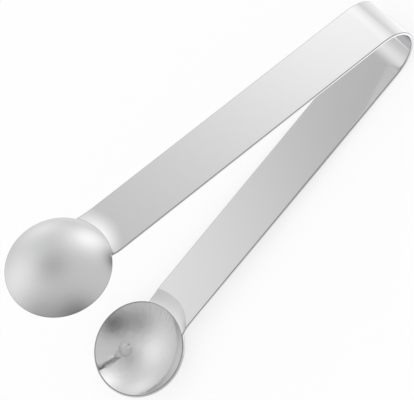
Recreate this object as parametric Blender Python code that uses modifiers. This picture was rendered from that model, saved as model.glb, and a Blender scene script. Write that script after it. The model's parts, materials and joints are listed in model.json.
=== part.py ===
"""Sugar tongs: one strip of stainless steel, bent to a spring bow, with two straight arms that end in
pressed round cups. The tongs lie on the back of the lower arm, as they are put down on a table.

Frame: +X from the bow towards the cups, +Y across the strip, +Z up, with the origin on the table under
the middle of the whole. Lengths are in metres, angles in radians. Each arm and its cup hang on an empty
that stands on the line about which the strip flexes, at the end of the bow.
"""
import math

import bmesh
import bpy
from mathutils import Matrix, Vector

# The strip that the whole object is made from
STRIP_WIDTH = 0.0127
STRIP_THICKNESS = 0.0008
EDGE_ROUNDING = 0.00025

# The bow, to the middle of the strip's thickness, and the angle between the arms at rest
BOW_RADIUS = 0.0096
OPENING_ANGLE = math.radians(28.6)

# An arm, from the end of the bow to the near side of the cup's rim
ARM_LENGTH = 0.0805

# The neck: a crescent ramp round the cup, which sets the rim back from the arm's inner face
NECK_REACH = 0.0034
NECK_STEP = 0.0009

# A cup: outside diameter and height of its dome, and the lean of its rim towards the other cup
CUP_DIAMETER = 0.0246
CUP_DEPTH = 0.0046
CUP_TILT = math.radians(5.5)

# Clearance where the arm meets the cup, and the distance under which doubled points are welded
SEAM_GAP = 0.0003
WELD_DISTANCE = 0.00001

# How finely round shapes are divided
BOW_STEPS = 36
CORNER_STEPS = 3
ARM_COLUMNS = 14
RAMP_ROWS = 3
CUP_STEPS = 56
CUP_RINGS = 9
ROUNDING_STEPS = 2
SHARP_ANGLE = math.radians(35)

# The steel, and how it looks
STEEL_COLOUR = (0.66, 0.66, 0.67, 1.0)
STEEL_ROUGHNESS = 0.14

# Sizes that follow from those above
HALF_OPENING = OPENING_ANGLE / 2
HALF_THICKNESS = STRIP_THICKNESS / 2
CUP_RADIUS = CUP_DIAMETER / 2
DOME_RADIUS = (CUP_RADIUS**2 + CUP_DEPTH**2) / (2 * CUP_DEPTH)
BOWL_RADIUS = DOME_RADIUS - STRIP_THICKNESS
RIM_ANGLE = math.atan2(CUP_RADIUS, DOME_RADIUS - CUP_DEPTH)
RIM_HEIGHT = (DOME_RADIUS - HALF_THICKNESS) * math.cos(RIM_ANGLE)


def clear_scene():
    """Empty the scene of every object."""
    for old in list(bpy.data.objects):
        bpy.data.objects.remove(old, do_unlink=True)


def stainless_steel():
    """Bright polished stainless steel."""
    steel = bpy.data.materials.new("stainless_steel")
    steel.use_nodes = True
    surface = steel.node_tree.nodes["Principled BSDF"]
    surface.inputs["Base Color"].default_value = STEEL_COLOUR
    surface.inputs["Metallic"].default_value = 1.0
    surface.inputs["Roughness"].default_value = STEEL_ROUGHNESS
    steel.diffuse_color = STEEL_COLOUR
    return steel


def shaded(mesh, material):
    """Give a mesh its material, smooth round faces and crisp edges."""
    mesh.materials.append(material)
    mesh.shade_smooth()
    mesh.set_sharp_from_angle(angle=SHARP_ANGLE)
    return mesh


def strip_section(columns):
    """Outline of the strip's cross-section as (across, outward) pairs, with rounded corners.

    It runs over the outer face from one side to the other and back under the inner face, so the points
    of the first half lie opposite those of the second half, in reverse order.
    """
    flat = STRIP_WIDTH / 2 - EDGE_ROUNDING
    rise = HALF_THICKNESS - EDGE_ROUNDING
    quarter = [math.pi / 2 * k / CORNER_STEPS for k in range(CORNER_STEPS + 1)]
    corner = [(flat + EDGE_ROUNDING * math.cos(a), rise + EDGE_ROUNDING * math.sin(a)) for a in quarter]
    between = [(flat * (1 - 2 * k / columns), HALF_THICKNESS) for k in range(1, columns)]
    outer = corner + between + [(-across, out) for across, out in reversed(corner)]
    inner = [(across, -out) for across, out in reversed(outer)]
    return outer + inner


def lofted_strip(name, section, places):
    """A closed solid: the section carried through a row of places, with a cap at both ends.

    Each place is a function that turns an (across, outward) pair into a point.
    """
    solid = bmesh.new()
    rings = [[solid.verts.new(place(across, out)) for across, out in section] for place in places]
    count = len(section)
    for ring, following in zip(rings, rings[1:]):
        for k in range(count):
            solid.faces.new((ring[k], ring[k - 1], following[k - 1], following[k]))
    for ring in (rings[0], rings[-1]):
        for k in range(count // 2 - 1):
            solid.faces.new((ring[k], ring[k + 1], ring[count - 2 - k], ring[count - 1 - k]))
    bmesh.ops.recalc_face_normals(solid, faces=solid.faces)
    mesh = bpy.data.meshes.new(name)
    solid.to_mesh(mesh)
    solid.free()
    return mesh


def bow_mesh():
    """The bow: the strip carried round an arc that leaves both arms tangent to it."""

    def on_arc(angle):
        def place(across, out):
            radius = BOW_RADIUS + out
            return (radius * math.cos(angle), across, radius * math.sin(angle))

        return place

    start = math.pi / 2 + HALF_OPENING
    sweep = math.pi - OPENING_ANGLE
    places = [on_arc(start + sweep * k / BOW_STEPS) for k in range(BOW_STEPS + 1)]
    return lofted_strip("spring_bow", strip_section(1), places)


def arm_mesh():
    """An arm, along +X from the end of the bow, with its outer face up.

    It is flat as far as a crease round the cup. From there a ramp rises to the cup's tilted rim, and the
    end is hollowed to fit round the rim, with its face mitred to meet the cup's sloping wall.
    """
    cup_centre = ARM_LENGTH + CUP_RADIUS
    mitre = math.tan(RIM_ANGLE / 2)

    def reach(radius, across):
        return cup_centre - math.sqrt(radius**2 - across**2)

    def bow_end(across, out):
        return (0.0, across, out)

    def on_ramp(share):
        def place(across, out):
            crease = reach(CUP_RADIUS + NECK_REACH, across)
            rim = reach(CUP_RADIUS + SEAM_GAP, across)
            height = NECK_STEP - (rim - ARM_LENGTH) * math.tan(CUP_TILT)
            slope = math.atan2(height, rim - crease)
            lean = slope / 2 if share == 0 else slope
            along = crease + (rim - crease) * share - out * math.sin(lean)
            if share == 1:
                along += (HALF_THICKNESS - out) * mitre
            return (along, across, height * share + out * math.cos(lean))

        return place

    places = [bow_end] + [on_ramp(k / RAMP_ROWS) for k in range(RAMP_ROWS + 1)]
    return lofted_strip("arm", strip_section(ARM_COLUMNS), places)


def cup_mesh():
    """Half outline of a cup, for turning about Z: down the dome, round the cut rim and up the bowl.

    Dome and bowl are caps of two spheres about one centre, so the wall is as thick as the strip, and the
    rim is cut square to it. The middle of the rim's thickness lies at height zero.
    """
    angles = [RIM_ANGLE * k / CUP_RINGS for k in range(CUP_RINGS + 1)]
    dome = [(DOME_RADIUS * math.sin(a), DOME_RADIUS * math.cos(a) - RIM_HEIGHT) for a in angles]
    bowl = [(BOWL_RADIUS * math.sin(a), BOWL_RADIUS * math.cos(a) - RIM_HEIGHT) for a in reversed(angles)]
    outline = [Vector((x, 0.0, z)) for x, z in dome + bowl]
    mesh = bpy.data.meshes.new("cup")
    mesh.from_pydata(outline, [(k, k + 1) for k in range(len(outline) - 1)], [])
    return mesh


def turned(part):
    """Turn a half outline into a round body and round over its cut rim."""
    screw = part.modifiers.new("turning", "SCREW")
    screw.axis = "Z"
    screw.angle = 2 * math.pi
    screw.steps = screw.render_steps = CUP_STEPS
    screw.use_merge_vertices = True
    screw.merge_threshold = WELD_DISTANCE
    screw.use_smooth_shade = True
    rounding = part.modifiers.new("rounded_rim", "BEVEL")
    rounding.limit_method = "ANGLE"
    rounding.angle_limit = SHARP_ANGLE
    rounding.width = EDGE_ROUNDING
    rounding.segments = ROUNDING_STEPS


def lying_angle():
    """How far the bow's middle plane leans back when the bow and the lower cup both touch the table.

    In the plane of the bend the table is the line that touches the bow's round back and the dome.
    """
    rim_lean = HALF_OPENING - CUP_TILT
    end = Vector((-math.sin(HALF_OPENING), math.cos(HALF_OPENING))) * BOW_RADIUS
    along = Vector((math.cos(HALF_OPENING), math.sin(HALF_OPENING)))
    outward = Vector((-along.y, along.x))
    rim_along = Vector((math.cos(rim_lean), math.sin(rim_lean)))
    rim_outward = Vector((-rim_along.y, rim_along.x))
    dome = end + along * ARM_LENGTH + outward * NECK_STEP + rim_along * CUP_RADIUS - rim_outward * RIM_HEIGHT
    back = BOW_RADIUS + HALF_THICKNESS
    return math.atan2(dome.y, dome.x) + math.asin((DOME_RADIUS - back) / dome.length)


def new_part(name, mesh, parent, matrix, collection):
    """Add a named object to the tongs, placed on its parent."""
    part = bpy.data.objects.new(name, mesh)
    collection.objects.link(part)
    part.parent = parent
    part.matrix_local = matrix
    return part


def build_tongs():
    """Put the bow, the arms and the cups together and stand them on the table."""
    collection = bpy.data.collections.new("sugar_tongs")
    bpy.context.scene.collection.children.link(collection)
    steel = stainless_steel()
    tongs = new_part("tongs", None, None, Matrix.Rotation(-lying_angle(), 4, "Y"), collection)
    new_part("spring_bow", shaded(bow_mesh(), steel), tongs, Matrix.Identity(4), collection)

    arm = shaded(arm_mesh(), steel)
    cup = shaded(cup_mesh(), steel)
    at_bow_end = Matrix.Rotation(-HALF_OPENING, 4, "Y") @ Matrix.Translation((0, 0, BOW_RADIUS))
    rim_middle = Vector((CUP_RADIUS * math.cos(CUP_TILT), 0, NECK_STEP - CUP_RADIUS * math.sin(CUP_TILT)))
    at_rim = Matrix.Translation(Vector((ARM_LENGTH, 0, 0)) + rim_middle) @ Matrix.Rotation(CUP_TILT, 4, "Y")
    for side, turn in (("upper", 0.0), ("lower", math.pi)):
        pivot = new_part(side + "_pivot", None, tongs, Matrix.Rotation(turn, 4, "X") @ at_bow_end, collection)
        new_part(side + "_arm", arm, pivot, Matrix.Identity(4), collection)
        turned(new_part(side + "_cup", cup, pivot, at_rim, collection))

    stand_on_table(tongs, collection)


def stand_on_table(tongs, collection):
    """Shift the whole so that the origin lies under the middle of it, on the table."""
    bpy.context.view_layer.update()
    graph = bpy.context.evaluated_depsgraph_get()
    corners = []
    for part in collection.objects:
        if part.type == "MESH":
            evaluated = part.evaluated_get(graph)
            corners += [evaluated.matrix_world @ vertex.co for vertex in evaluated.data.vertices]
    lows = [min(corner[k] for corner in corners) for k in range(3)]
    highs = [max(corner[k] for corner in corners) for k in range(3)]
    tongs.location = (-(lows[0] + highs[0]) / 2, -(lows[1] + highs[1]) / 2, -lows[2])
    bpy.context.view_layer.update()


clear_scene()
build_tongs()
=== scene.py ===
"""The looks of a pair of sugar tongs: one bent strip of polished steel with a drawn cup at each end.

The strip and the cups are smooth surfaces worked out from the strip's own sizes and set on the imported
model: a pivot and an outward direction of the model place each half. Lengths are in metres.
"""

import json
import math

import bpy
import numpy as np
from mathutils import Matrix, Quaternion, Vector


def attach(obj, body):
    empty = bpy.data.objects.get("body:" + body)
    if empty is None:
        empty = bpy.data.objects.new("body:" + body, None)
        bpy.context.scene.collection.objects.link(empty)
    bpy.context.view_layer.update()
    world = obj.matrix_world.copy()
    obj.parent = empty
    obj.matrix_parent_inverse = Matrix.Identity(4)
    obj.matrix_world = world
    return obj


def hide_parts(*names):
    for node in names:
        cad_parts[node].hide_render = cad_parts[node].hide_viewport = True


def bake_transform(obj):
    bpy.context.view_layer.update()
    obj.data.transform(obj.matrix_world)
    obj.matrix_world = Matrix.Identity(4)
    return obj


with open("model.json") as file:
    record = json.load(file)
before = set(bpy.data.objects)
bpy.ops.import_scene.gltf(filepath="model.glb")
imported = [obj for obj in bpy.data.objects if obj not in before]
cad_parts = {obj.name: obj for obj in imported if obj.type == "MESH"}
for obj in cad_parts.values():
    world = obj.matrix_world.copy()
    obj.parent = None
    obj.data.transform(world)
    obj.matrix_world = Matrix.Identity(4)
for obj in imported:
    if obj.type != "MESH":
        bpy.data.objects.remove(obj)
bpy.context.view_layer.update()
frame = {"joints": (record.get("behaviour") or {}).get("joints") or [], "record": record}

# The strip
STRIP_WIDTH = 0.0127
STRIP_THICKNESS = 0.0008
EDGE_ROUNDING = 0.00022
ARM_LENGTH = 0.0805

# The neck: how far its crease lies outside the cup's rim, the share of that which it loses at the strip's
# +Y edge, how far it sets the rim back, how much earlier its outer face starts to rise, the power of its
# curve, and the small rounding where it turns into the bowl
NECK_REACH = 0.0034
NECK_TAPER = 0.6
NECK_STEP = 0.0009
NECK_RUN_IN = 0.0010
NECK_CURVE = 1.6
LIP_ROUNDING = 0.00012

# The cups
CUP_DIAMETER = 0.0246
CUP_DEPTH = 0.0046
CUP_TILT = math.radians(5.5)
RIM_ROUNDING = 0.00025

# How finely the surfaces are divided
FACE_COLUMNS = 44
CORNER_COLUMNS = 6
BOW_ROWS = 110
ARM_ROWS = 60
NECK_ROWS = 48
LIP_ROWS = 8
CUP_COLUMNS = 360
DOME_ROWS = 64
CORNER_ROWS = 5
SHARP_ANGLE = math.radians(35)

# The pattern's marks: how far apart the strip's two faces lie in it, in widths; over what angle the rim
# turns from square to round beside the neck; how wide the drawn zone fans out, at what share of the cup's
# radius it starts and how fast it grows; and how uneven each surface is
FACE_SHIFT = 1.2
RIM_FADE = math.radians(1.8)
DRAWN_SPREAD = 0.75
DRAWN_START_SHARE = 0.5
DRAWN_GROWTH = 2.2
ARM_UNEVEN = 0.15
DOME_UNEVEN = 0.3
BOWL_UNEVEN = 1.0

# Sizes that follow
HALF_THICKNESS = STRIP_THICKNESS / 2
CUP_RADIUS = CUP_DIAMETER / 2
DOME_RADIUS = (CUP_RADIUS**2 + CUP_DEPTH**2) / (2 * CUP_DEPTH)
BOWL_RADIUS = DOME_RADIUS - STRIP_THICKNESS
RIM_ANGLE = math.atan2(CUP_RADIUS, DOME_RADIUS - CUP_DEPTH)
RIM_HEIGHT = (DOME_RADIUS - HALF_THICKNESS) * math.cos(RIM_ANGLE)
RIM_CENTRE = (
    ARM_LENGTH + CUP_RADIUS * math.cos(CUP_TILT),
    NECK_STEP - CUP_RADIUS * math.sin(CUP_TILT),
)

# The camera
CAMERA_AIM = Vector((0.00227, -0.00221, 0.02263))
CAMERA_DISTANCE = 0.530
CAMERA_AZIMUTH = math.radians(-154.32)
CAMERA_ELEVATION = math.radians(62.41)
CAMERA_ROLL = math.radians(-74.80)
CAMERA_LENS = 194.4

# The steel: its colours and least roughness, and the heights of its marks. Lines run along the strip, given
# in how many there are to the metre each way; waves and haze lie all over; striae fan out from the neck.
STEEL_COLOUR = (0.70, 0.70, 0.705, 1.0)
# The colour that edges are darkened towards: a painted dark reflection along the rounded edges and painted
# shade in the lip's crease
EDGE_SHADE_COLOUR = (0.16, 0.16, 0.165, 1.0)
ROUGHNESS = 0.08
LINE_SCALE = (60.0, 2500.0)
LINE_HEIGHT = 0.0000006
WAVE_SCALE = 380.0
WAVE_HEIGHT = 0.00006
HAZE_SCALE = 160.0
STRIA_COUNT = 45.0
STRIA_SCALE = 250.0
STRIA_HEIGHT = 0.00002

# What haze, rounded edges and the drawn zone add to the roughness; how strongly the rounded edges are
# darkened, as a painted dark reflection along them and painted shade in the lip's crease; and from which
# level of the striae's pattern on, and how strongly, the striae are dulled
HAZE_ROUGHNESS = 0.04
EDGE_ROUGHNESS = 0.25
DRAWN_ROUGHNESS = 0.06
EDGE_SHADE_STRENGTH = 0.8
STRIA_START = 0.45
STRIA_DULLNESS = 2.0

# The tent of white cloth round the tongs, which only the steel mirrors: its size, the height of its middle,
# the angle of the small opening at its top, how finely it is divided, and its level
TENT_RADIUS = 0.18
TENT_MIDDLE = 0.03
TENT_OPENING = 0.002
TENT_ROWS = 48
TENT_COLUMNS = 96
TENT_LEVEL = 0.75

# Windows light the tent softly and screens shade it, each as azimuth from +X towards +Y, zenith angle, width
# and strength. The upper arm mirrors the tent near (210, 55), the lower arm's inside near (285, 25).
LOW_WINDOW = (205, 80, 25, 0.6)
SIDE_WINDOW = (260, 85, 20, 0.3)
END_WINDOW = (310, 45, 30, 0.35)
CAMERA_SCREEN = (70, 50, 25, -0.5)
FAR_SCREEN = (10, 45, 25, -0.3)
TOP_SCREEN = (240, 20, 20, -0.2)
FLOOR_SCREEN = (165, 95, 15, -0.6)
TENT_LIGHTS = (LOW_WINDOW, SIDE_WINDOW, END_WINDOW, CAMERA_SCREEN, FAR_SCREEN, TOP_SCREEN, FLOOR_SCREEN)

# The table as the steel mirrors it: its level, a bright patch under the cups and one beside the bow, and
# the shade on the camera's side, each as x, y, width and strength; how far the shade under the steel
# reaches, and the power by which it deepens
TABLE_LEVEL = 0.95
CUP_PATCH = (0.03, 0.0, 0.03, 0.6)
BOW_PATCH = (-0.06, 0.03, 0.04, 0.6)
CAMERA_SHADE = (0.0, 0.15, 0.08, -0.5)
TABLE_LIGHTS = (CUP_PATCH, BOW_PATCH, CAMERA_SHADE)
TABLE_CONTACT = 0.006
CONTACT_POWER = 2

# The least and most that any place of tent or table gives off
LEAST_LIGHT = 0.02
MOST_LIGHT = 10.0

# The table top: its radius and corners, the paint and glow that the camera sees, and the paint that lights
TABLE_RADIUS = 0.6
TABLE_CORNERS = 96
SEEN_PAINT = (0.35, 0.35, 0.35, 1.0)
SEEN_GLOW = 0.73
BRIGHT_PAINT = (0.88, 0.88, 0.88, 1.0)
WHITE = (1.0, 1.0, 1.0, 1.0)


class Half:
    """One half of the tongs: the line that it flexes about, and its axes along, across and outward."""

    def __init__(self, side, mount):
        joints = {joint["name"]: joint for joint in frame["joints"]}
        mounts = {place["name"]: place for place in frame["record"]["mounts"]}
        self.body = side + "_arm"
        self.side = side
        self.pivot = np.array(joints[side + "_arm_flex"]["pos_m"])
        self.outward = np.array(mounts[mount]["axis"])
        self.outward /= np.linalg.norm(self.outward)
        self.across = np.array((0.0, self.outward[2], 0.0))
        self.across /= np.linalg.norm(self.across)
        self.along = np.cross(self.across, self.outward)

    def placed(self, along, across, outward):
        """Points of the half, given as three arrays of the same shape, in the model's own frame."""
        terms = zip((along, across, outward), (self.along, self.across, self.outward))
        return self.pivot + sum(part[..., None] * axis for part, axis in terms)


UPPER = Half("upper", "thumb_face")
LOWER = Half("lower", "finger_face")
BOW_RADIUS = np.linalg.norm(UPPER.pivot - LOWER.pivot) / np.linalg.norm(UPPER.outward - LOWER.outward)
BOW_SWEEP = (math.pi - math.acos(np.dot(UPPER.along, LOWER.along))) / 2


def grid_mesh(name, points, uv, marks, poles=False, caps=False):
    """A mesh over a grid of points, rows by columns that close up, with its pattern coordinates in metres.

    The first and the last row may shrink to a point each, or flat caps may close both ends of a bar: a cap
    joins each column to the one opposite it in the section. Marks are named values from 0 to 1 for each
    point, which the steel reads.
    """
    rows, columns = points.shape[:2]
    index = np.arange(rows * columns).reshape(rows, columns)
    right = np.roll(index, -1, axis=1)
    body = slice(1, rows - 1) if poles else slice(0, rows)
    inner, following = index[body], right[body]
    quads = np.stack((inner[:-1], inner[1:], following[1:], following[:-1]), axis=-1).reshape(-1, 4)
    triangles = np.empty((0, 3), np.int64)
    if poles:
        first = np.stack((np.zeros(columns, np.int64), index[1], right[1]), axis=-1)
        last = np.stack((np.full(columns, index[-1, 0]), right[-2], index[-2]), axis=-1)
        triangles = np.vstack((first, last))
    if caps:
        low = np.arange(columns // 2 - 1)
        high = columns - 1 - low
        cap = np.stack((low, low + 1, high - 1, high), axis=-1)
        quads = np.vstack((quads, index[0][cap], index[-1][cap[:, ::-1]]))
    corners = np.concatenate((quads.ravel(), triangles.ravel()))
    used, corners = np.unique(corners, return_inverse=True)
    starts = np.concatenate((np.arange(len(quads)) * 4, len(quads) * 4 + np.arange(len(triangles)) * 3))
    mesh = bpy.data.meshes.new(name)
    mesh.vertices.add(len(used))
    mesh.vertices.foreach_set("co", points.reshape(-1, 3)[used].astype(np.float32).ravel())
    mesh.loops.add(len(corners))
    mesh.loops.foreach_set("vertex_index", corners.astype(np.int32))
    mesh.polygons.add(len(starts))
    mesh.polygons.foreach_set("loop_start", starts.astype(np.int32))
    mesh.update(calc_edges=True)
    layer = mesh.uv_layers.new(name="surface")
    layer.data.foreach_set("uv", uv.reshape(-1, 2)[used][corners].astype(np.float32).ravel())
    for key, mark in marks.items():
        values = np.broadcast_to(mark, (rows, columns)).ravel()[used]
        mesh.attributes.new(key, "FLOAT", "POINT").data.foreach_set("value", values.astype(np.float32))
    mesh.shade_smooth()
    mesh.set_sharp_from_angle(angle=SHARP_ANGLE)
    mesh.validate()
    return mesh


def new_piece(name, mesh, material, *nodes):
    """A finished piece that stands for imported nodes."""
    piece = bpy.data.objects.new(name, mesh)
    bpy.context.scene.collection.objects.link(piece)
    mesh.materials.append(material)
    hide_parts(*nodes)
    return piece


def strip_section():
    """The strip's outline as (across, share), the share running from 0 on the inner face to 1 on the outer.

    A rectangle with quarter-round corners: along the outer face from one side to the other, and back
    along the inner face, so that the second half mirrors the first in reverse order.
    """
    flat = STRIP_WIDTH / 2 - EDGE_ROUNDING
    turn = np.linspace(0, math.pi / 2, CORNER_COLUMNS + 1)
    corner_across = flat + EDGE_ROUNDING * np.cos(turn)
    corner_out = HALF_THICKNESS - EDGE_ROUNDING + EDGE_ROUNDING * np.sin(turn)
    face = np.linspace(flat, -flat, FACE_COLUMNS + 1)[1:-1]
    across = np.concatenate((corner_across, face, -corner_across[::-1]))
    out = np.concatenate((corner_out, np.full(len(face), HALF_THICKNESS), corner_out[::-1]))
    across = np.concatenate((across, across[::-1]))
    out = np.concatenate((out, -out[::-1]))
    return across, out / STRIP_THICKNESS + 0.5


def section_corner():
    """How near each point of the outline is to the middle of a rounded edge: the sine of twice its turn."""
    turn = np.linspace(0, math.pi / 2, CORNER_COLUMNS + 1)
    face = np.zeros(FACE_COLUMNS - 1)
    corner = np.concatenate((np.sin(2 * turn), face, np.sin(2 * turn[::-1])))
    return np.concatenate((corner, corner[::-1]))


def rim_border(across, share):
    """Where the neck meets the cup: on a circle square to the cup's wall, by the share of its thickness.

    The circle's radius and height are those of the sphere between bowl and dome at the rim's angle.
    """
    sphere = BOWL_RADIUS + STRIP_THICKNESS * share
    radius = sphere * math.sin(RIM_ANGLE)
    height = sphere * math.cos(RIM_ANGLE) - RIM_HEIGHT
    return cup_point(-np.sqrt(radius**2 - across**2), height)


def cup_point(forward, height):
    """From the cup's own plane to the arm's frame: turned by the tilt about the rim's centre."""
    along = RIM_CENTRE[0] + forward * math.cos(CUP_TILT) + height * math.sin(CUP_TILT)
    outward = RIM_CENTRE[1] - forward * math.sin(CUP_TILT) + height * math.cos(CUP_TILT)
    return along, outward


def ramp(place, share, reach):
    """The neck's rise, from 0 where the place is 0 to 1 where it is 1, on the face that the share names.

    The inner face breaks at the crease and flattens out: one less a power of the way that is left. The
    outer face starts before the crease and steepens: a power of the way that is gone.
    """
    left = np.clip(1 - place, 0, 1)
    inner = 1 - left**NECK_CURVE
    early = NECK_RUN_IN / reach
    outer = (np.clip(place + early, 0, None) / (1 + early)) ** (NECK_CURVE * (1 + early))
    return inner + (outer - inner) * share


def face_rows(across, share, side):
    """One face of a half, row by row from the bow's apex to the cup: arrays of along and outward.

    On the bow a row is a turn about the bow's centre. On the arm the rows spread from straight to an arc
    about the cup. On the neck they are arcs that shrink to the rim's border and rise by the soft ramp.
    """
    out = (share - 0.5) * STRIP_THICKNESS
    turn = np.linspace(BOW_SWEEP, 0, BOW_ROWS + 1)[:, None]
    bow = (
        -(BOW_RADIUS + out) * np.sin(turn) + 0 * across,
        -BOW_RADIUS + (BOW_RADIUS + out) * np.cos(turn) + 0 * across,
    )

    border_along, border_out = rim_border(across, share)
    border = (BOWL_RADIUS + STRIP_THICKNESS * share) * math.sin(RIM_ANGLE)
    towards_edge = np.clip(across * side / (STRIP_WIDTH / 2), 0, 1)
    reach = NECK_REACH * (1 - NECK_TAPER * towards_edge**2)
    crease = CUP_RADIUS + reach
    start = crease + NECK_RUN_IN
    start_along = RIM_CENTRE[0] - np.sqrt(start**2 - across**2)
    grow = np.linspace(0, 1, ARM_ROWS + 1)[1:, None]
    arm = (grow * start_along, out + 0 * grow * across)

    last = 1 - LIP_ROUNDING / (start - border)
    step = np.vstack((np.linspace(0, last, NECK_ROWS + 1)[1:], np.linspace(last, 1, LIP_ROWS + 1)[1:]))
    radius = start + (border - start) * step
    settle = border_along - (RIM_CENTRE[0] - np.sqrt(border**2 - across**2))
    along = RIM_CENTRE[0] - np.sqrt(radius**2 - across**2) + step * settle
    rise = ramp((crease - radius) / (crease - border), share, reach)
    neck = (along, out + (border_out - out) * rise)
    return [np.vstack(parts) for parts in zip(bow, arm, neck)]


def rounded_lip(along, outward, across):
    """Rounds the inner face over into the bowl: its last rows follow a parabola from the ramp to the bowl.

    The parabola's control point is the border, and it ends on the bowl one rounding further in.
    """
    t = np.linspace(0, 1, LIP_ROWS + 1)[:, None]
    angle = RIM_ANGLE - LIP_ROUNDING / BOWL_RADIUS
    border = BOWL_RADIUS * math.sin(RIM_ANGLE)
    forward = -np.sqrt(border**2 - across**2) * math.sin(angle) / math.sin(RIM_ANGLE)
    end = cup_point(forward, BOWL_RADIUS * math.cos(angle) - RIM_HEIGHT)
    for rows, last in ((along, end[0]), (outward, end[1])):
        first = rows[-LIP_ROWS - 1].copy()
        corner = rows[-1].copy()
        rows[-LIP_ROWS - 1:] = first * (1 - t) ** 2 + 2 * corner * t * (1 - t) + last * t**2
    across = np.repeat(across[None], len(along), 0)
    shrink = math.sin(angle) / math.sin(RIM_ANGLE)
    across[-LIP_ROWS - 1:] *= (1 - t) ** 2 + 2 * t * (1 - t) + shrink * t**2
    return along, across, outward


def half_strip(half, material):
    """Half of the bow with its arm and neck, as one skin.

    Every point lies between the inner and the outer face, by its share of the strip's thickness.
    """
    across, share = strip_section()
    side = half.across[1]
    inner_along, inner_out = face_rows(across, 0.0, side)
    outer_along, outer_out = face_rows(across, 1.0, side)
    inner = rounded_lip(inner_along, inner_out, across)
    outer = (outer_along, np.repeat(across[None], len(outer_along), 0), outer_out)
    local = [low + (high - low) * share for low, high in zip(inner, outer)]
    points = half.placed(*local)
    middle = points.mean(axis=1)
    length = np.concatenate(([0], np.cumsum(np.linalg.norm(np.diff(middle, axis=0), axis=1))))
    sideways = across + (1 - share) * STRIP_WIDTH * FACE_SHIFT
    uv = np.stack(np.broadcast_arrays(length[:, None], sideways), axis=-1)
    # The lip, where the inner face turns into the bowl, counts as a rounded edge: rougher, and darkened as
    # painted shade in the crease
    lip = np.zeros((len(points), 1))
    lip[-LIP_ROWS - 1:, 0] = np.sin(np.linspace(0, math.pi, LIP_ROWS + 1))
    marks = {"corner": np.maximum(section_corner(), lip)[:, ::-1], "drawn": 0.0, "uneven": ARM_UNEVEN}
    mesh = grid_mesh(half.side + "_spring_arm", points[:, ::-1], uv[:, ::-1], marks, caps=True)
    piece = new_piece(half.side + "_spring_arm", mesh, material, "spring_bow", half.body)
    apex_along = -BOW_RADIUS * math.sin(BOW_SWEEP)
    apex_out = -BOW_RADIUS * (1 - math.cos(BOW_SWEEP))
    apex = half.placed(*np.array((apex_along, 0, apex_out)))
    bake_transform(piece)
    return piece


def drawn_cup(half, material):
    """A cup: dome and bowl are caps of two spheres about one centre, joined by a rim.

    Round the neck the rim is left square, to meet the neck's end, and elsewhere its corners are rounded.
    """
    turn = np.linspace(0, 2 * math.pi, CUP_COLUMNS, endpoint=False)[None]
    from_neck = np.abs(turn - math.pi)
    neck_angle = math.asin((STRIP_WIDTH / 2 - EDGE_ROUNDING) / CUP_RADIUS)
    edge = np.clip((from_neck - neck_angle) / RIM_FADE, 0, 1)
    edge = edge * edge * (3 - 2 * edge)

    rows = np.linspace(0, 1, DOME_ROWS + 1)[:, None]
    dome_end = RIM_ANGLE - edge * RIM_ROUNDING / DOME_RADIUS
    bowl_end = RIM_ANGLE - edge * RIM_ROUNDING / BOWL_RADIUS - (1 - edge) * LIP_ROUNDING / BOWL_RADIUS
    parts = [(DOME_RADIUS + 0 * rows * turn, rows * dome_end)]
    bend = np.linspace(0, math.pi / 2, CORNER_ROWS + 1)[1:-1, None]
    outer_radius = DOME_RADIUS - RIM_ROUNDING * (1 - np.cos(bend))
    outer_angle = RIM_ANGLE - RIM_ROUNDING * (1 - np.sin(bend)) / DOME_RADIUS
    inner_radius = BOWL_RADIUS + RIM_ROUNDING * (1 - np.cos(bend[::-1]))
    inner_angle = RIM_ANGLE - RIM_ROUNDING * (1 - np.sin(bend[::-1])) / BOWL_RADIUS
    face_radius = np.array(((DOME_RADIUS - RIM_ROUNDING,), (BOWL_RADIUS + RIM_ROUNDING,)))
    round_radius = np.vstack((outer_radius, face_radius, inner_radius))
    round_angle = np.vstack((outer_angle, np.full_like(face_radius, RIM_ANGLE), inner_angle))
    chord = np.linspace(0, 1, len(round_radius) + 2)[1:-1, None]
    cut_radius = DOME_RADIUS + (BOWL_RADIUS - DOME_RADIUS) * chord
    cut_angle = RIM_ANGLE - LIP_ROUNDING / BOWL_RADIUS * chord
    rim_radius = cut_radius + (round_radius - cut_radius) * edge
    rim_angle = cut_angle + (round_angle - cut_angle) * edge
    parts.append((rim_radius, rim_angle))
    parts.append((BOWL_RADIUS + 0 * rows * turn, rows[::-1] * bowl_end))
    sphere, angle = (np.vstack(columns) for columns in zip(*parts))

    radius = sphere * np.sin(angle)
    height = sphere * np.cos(angle) - RIM_HEIGHT
    along, outward = cup_point(radius * np.cos(turn), height)
    points = half.placed(along, radius * np.sin(turn), outward)
    reach = radius + (np.arange(len(radius)) > DOME_ROWS + CORNER_ROWS)[:, None] * CUP_DIAMETER
    uv = np.stack((reach * np.cos(turn), reach * np.sin(turn)), axis=-1)
    # The rim's rounded corners, away from the neck, are rougher and darkened as a painted dark reflection
    bends = np.sin(2 * bend)
    cut = np.vstack((0 * rows, bends, np.zeros((2, 1)), bends[::-1], 0 * rows))
    inside = np.linspace(0, 1, len(radius))[:, None] > 0.5
    near_rim = np.clip((radius / CUP_RADIUS - DRAWN_START_SHARE) * DRAWN_GROWTH, 0, 1) ** 2
    near_neck = np.exp(-((from_neck / DRAWN_SPREAD) ** 2))
    uneven = DOME_UNEVEN + (BOWL_UNEVEN - DOME_UNEVEN) * inside
    marks = {"corner": cut * edge, "drawn": near_rim * near_neck * inside, "uneven": uneven}
    mesh = grid_mesh(half.side + "_drawn_cup", points, uv, marks, poles=True)
    piece = new_piece(half.side + "_drawn_cup", mesh, material, half.side + "_cup")
    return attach(piece, half.body)


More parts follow.
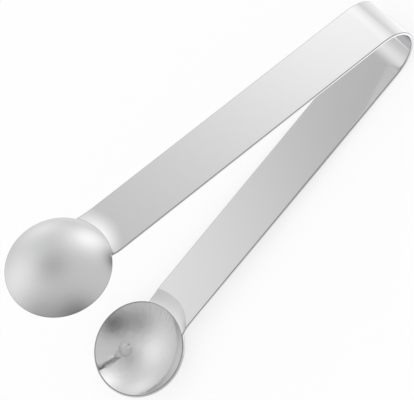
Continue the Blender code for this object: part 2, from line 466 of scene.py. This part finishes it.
class Signal:
    """A node's output that can be used in sums and products; each of them adds a Math node."""

    def __init__(self, shader, socket):
        self.shader = shader
        self.socket = socket

    def combined(self, operation, *values):
        return self.shader.node("ShaderNodeMath", {"operation": operation}, *values)

    def __add__(self, other):
        return self.combined("ADD", self, other)

    def __sub__(self, other):
        return self.combined("SUBTRACT", self, other)

    def __rsub__(self, other):
        return self.combined("SUBTRACT", other, self)

    def __mul__(self, other):
        return self.combined("MULTIPLY", self, other)

    def __pow__(self, other):
        return self.combined("POWER", self, other)

    __radd__ = __add__
    __rmul__ = __mul__

    def exp(self):
        return self.combined("EXPONENT", self)

    def clamped(self, low, high):
        return self.combined("MINIMUM", self.combined("MAXIMUM", self, low), high)


class Shader:
    """Adds nodes to a material or a world, one call each."""

    def __init__(self, owner):
        owner.use_nodes = True
        self.tree = owner.node_tree
        self.tree.nodes.clear()

    def node(self, kind, settings=None, *values, output=0, **named):
        """A node of a kind, its settings made first, its inputs given in order or by name."""
        made = self.tree.nodes.new(kind)
        for key, value in (settings or {}).items():
            setattr(made, key, value)
        inputs = list(zip(made.inputs, values))
        inputs += [(made.inputs[name.replace("_", " ")], value) for name, value in named.items()]
        for socket, value in inputs:
            if isinstance(value, Signal):
                self.tree.links.new(value.socket, socket)
            elif value is not None:
                socket.default_value = value
        return Signal(self, made.outputs[output]) if made.outputs else None


def polished_steel():
    """Bright rolled and polished stainless steel.

    Its height is the sum of faint lines along the strip, a soft unevenness left by the drawing of the cups,
    and short striae that run down into the bowl from the neck. Rounded edges are rougher, and their colour
    is
    darkened: a painted dark reflection along them, and painted shade in the lip where the neck turns into
    the bowl. The striae are duller.
    """
    material = bpy.data.materials.new("polished_steel")
    shader = Shader(material)
    surface = shader.node("ShaderNodeUVMap", {"uv_map": "surface"})
    place = shader.node("ShaderNodeTexCoord", output=3)
    corner, drawn, uneven = (
        shader.node("ShaderNodeAttribute", {"attribute_name": name}, output=2)
        for name in ("corner", "drawn", "uneven")
    )

    lines_place = shader.node("ShaderNodeMapping", None, surface, Scale=(*LINE_SCALE, 1.0))
    lines = shader.node("ShaderNodeTexNoise", None, lines_place, Scale=1.0, Detail=3.0, Roughness=0.6)
    waves = shader.node("ShaderNodeTexNoise", None, place, Scale=WAVE_SCALE, Detail=1.5, Roughness=0.5)
    haze = shader.node("ShaderNodeTexNoise", None, place, Scale=HAZE_SCALE, Detail=3.0, Roughness=0.6)

    apart = shader.node("ShaderNodeSeparateXYZ", None, surface)
    sideways = shader.node("ShaderNodeSeparateXYZ", None, surface, output=1)
    angle = sideways.combined("ARCTAN2", sideways, apart * -1.0)
    reach = shader.node("ShaderNodeVectorMath", {"operation": "LENGTH"}, surface, output=1)
    striae_place = shader.node("ShaderNodeCombineXYZ", None, angle * STRIA_COUNT, reach * STRIA_SCALE)
    striae = shader.node("ShaderNodeTexNoise", None, striae_place, Scale=1.0, Detail=2.0, Roughness=0.6)

    height = lines * LINE_HEIGHT + waves * uneven * WAVE_HEIGHT + striae * drawn * STRIA_HEIGHT
    bump = shader.node("ShaderNodeBump", None, Strength=1.0, Distance=1.0, Height=height)
    roughness = ROUGHNESS + HAZE_ROUGHNESS * haze + EDGE_ROUGHNESS * corner + DRAWN_ROUGHNESS * drawn
    dull_striae = drawn * (striae - STRIA_START).clamped(0.0, 1.0) * STRIA_DULLNESS
    # Painted dark reflection along the rounded edges and painted shade in the lip's crease, added to the
    # striae's dullness
    edge_shade_and_dull_striae = (corner * EDGE_SHADE_STRENGTH + dull_striae).clamped(0.0, 1.0)
    colour = shader.node("ShaderNodeMixRGB", None, edge_shade_and_dull_striae, STEEL_COLOUR, EDGE_SHADE_COLOUR)
    steel = shader.node(
        "ShaderNodeBsdfPrincipled", None, Base_Color=colour, Metallic=1.0, Roughness=roughness, Normal=bump,
    )
    shader.node("ShaderNodeOutputMaterial", None, steel)
    return material


def lobes(shader, base, middles, squared_distance):
    """A base level with soft lobes added.

    Each is its strength times the exponential of minus the squared distance from its middle, in widths.
    """
    total = base
    for *place, strength in middles:
        total = total + strength * (squared_distance(*place) * -1.0).exp()
    return total.clamped(LEAST_LIGHT, MOST_LIGHT)


def world_light():
    """An even white room at the tent's level, which the camera sees as plain white."""
    world = bpy.data.worlds.new("studio")
    bpy.context.scene.world = world
    shader = Shader(world)
    camera_ray = shader.node("ShaderNodeLightPath", output=0)
    strength = camera_ray * (1.0 - TENT_LEVEL) + TENT_LEVEL
    background = shader.node("ShaderNodeBackground", None, Color=WHITE, Strength=strength)
    shader.node("ShaderNodeOutputWorld", None, background)


def table_top():
    """The white table: a wide disc that keeps a faint shadow. The steel mirrors it with its patches."""
    turn = np.linspace(0, 2 * math.pi, TABLE_CORNERS, endpoint=False)
    points = np.stack((TABLE_RADIUS * np.cos(turn), TABLE_RADIUS * np.sin(turn), 0 * turn), axis=-1)
    mesh = bpy.data.meshes.new("table_top")
    mesh.from_pydata(points, [], [list(range(len(turn)))])
    table = bpy.data.objects.new("table_top", mesh)
    bpy.context.scene.collection.objects.link(table)
    material = bpy.data.materials.new("white_table")
    shader = Shader(material)
    place = shader.node("ShaderNodeTexCoord", output=3)

    def from_middle(x, y, width):
        away = shader.node("ShaderNodeVectorMath", {"operation": "DISTANCE"}, place, (x, y, 0.0), output=1)
        return (away * (1 / width)) ** 2

    contact = shader.node("ShaderNodeAmbientOcclusion", {"samples": 8}, None, TABLE_CONTACT, output=1)
    mirrored = lobes(shader, TABLE_LEVEL, TABLE_LIGHTS, from_middle) * contact**CONTACT_POWER
    camera_ray = shader.node("ShaderNodeLightPath", output=0)
    glossy_ray = shader.node("ShaderNodeLightPath", output=3)
    paint = shader.node("ShaderNodeBsdfDiffuse", None, Color=SEEN_PAINT)
    bright_paint = shader.node("ShaderNodeBsdfDiffuse", None, Color=BRIGHT_PAINT)
    glow = shader.node("ShaderNodeEmission", None, Color=WHITE, Strength=SEEN_GLOW)
    seen = shader.node("ShaderNodeAddShader", None, paint, glow)
    reflected = shader.node("ShaderNodeEmission", None, Color=WHITE, Strength=mirrored)
    lit = shader.node("ShaderNodeMixShader", None, glossy_ray, bright_paint, reflected)
    mixed = shader.node("ShaderNodeMixShader", None, camera_ray, lit, seen)
    shader.node("ShaderNodeOutputMaterial", None, mixed)
    mesh.materials.append(material)


def light_tent():
    """A tent of white cloth that stands on the table round the tongs, seen only in the steel.

    It is a sphere down to the table: across, the sine and cosine of the turn times the sine of the zenith
    angle, and up, its cosine. The cloth is lit unevenly, in soft lobes.
    """
    foot = math.acos(-TENT_MIDDLE / TENT_RADIUS)
    zenith = np.linspace(TENT_OPENING, foot, TENT_ROWS + 1)
    turn = np.linspace(0, 2 * math.pi, TENT_COLUMNS + 1)[:-1]
    zenith, turn = np.meshgrid(zenith, turn, indexing="ij")
    across = TENT_RADIUS * np.sin(zenith)
    points = np.stack((across * np.cos(turn), across * np.sin(turn), TENT_RADIUS * np.cos(zenith)), axis=-1)
    uv = np.stack((turn, zenith), axis=-1)
    mesh = grid_mesh("light_tent", points, uv, {})
    tent = bpy.data.objects.new("light_tent", mesh)
    bpy.context.scene.collection.objects.link(tent)
    tent.location = (0.0, 0.0, TENT_MIDDLE)
    for rays in ("camera", "diffuse", "transmission", "volume_scatter", "shadow"):
        setattr(tent, "visible_" + rays, False)
    material = bpy.data.materials.new("tent_cloth")
    shader = Shader(material)
    place = shader.node("ShaderNodeTexCoord", output=3)

    def from_middle(azimuth, zenith, width):
        a, z = math.radians(azimuth), math.radians(zenith)
        towards = (math.sin(z) * math.cos(a), math.sin(z) * math.sin(a), math.cos(z))
        middle = [TENT_RADIUS * share for share in towards]
        away = shader.node("ShaderNodeVectorMath", {"operation": "DISTANCE"}, place, middle, output=1)
        return (away * (1 / (TENT_RADIUS * math.radians(width)))) ** 2

    light = lobes(shader, TENT_LEVEL, TENT_LIGHTS, from_middle)
    glow = shader.node("ShaderNodeEmission", None, Color=WHITE, Strength=light)
    shader.node("ShaderNodeOutputMaterial", None, glow)
    mesh.materials.append(material)


def camera():
    """The camera stands off its aim by azimuth and elevation, and is rolled about its own axis."""
    data = bpy.data.cameras.new("camera")
    data.lens = CAMERA_LENS
    data.sensor_width = 36.0
    data.clip_start = 0.05
    eye = bpy.data.objects.new("camera", data)
    bpy.context.scene.collection.objects.link(eye)
    flat = math.cos(CAMERA_ELEVATION)
    across, ahead = math.sin(CAMERA_AZIMUTH) * flat, -math.cos(CAMERA_AZIMUTH) * flat
    back = Vector((across, ahead, math.sin(CAMERA_ELEVATION)))
    eye.location = CAMERA_AIM + back * CAMERA_DISTANCE
    eye.rotation_mode = "QUATERNION"
    eye.rotation_quaternion = (-back).to_track_quat("-Z", "Y") @ Quaternion((0, 0, 1), CAMERA_ROLL)
    bpy.context.scene.camera = eye


camera()
world_light()
table_top()
light_tent()
steel = polished_steel()
for half in (UPPER, LOWER):
    half_strip(half, steel)
    drawn_cup(half, steel)
bpy.context.scene.view_settings.view_transform = "Standard"
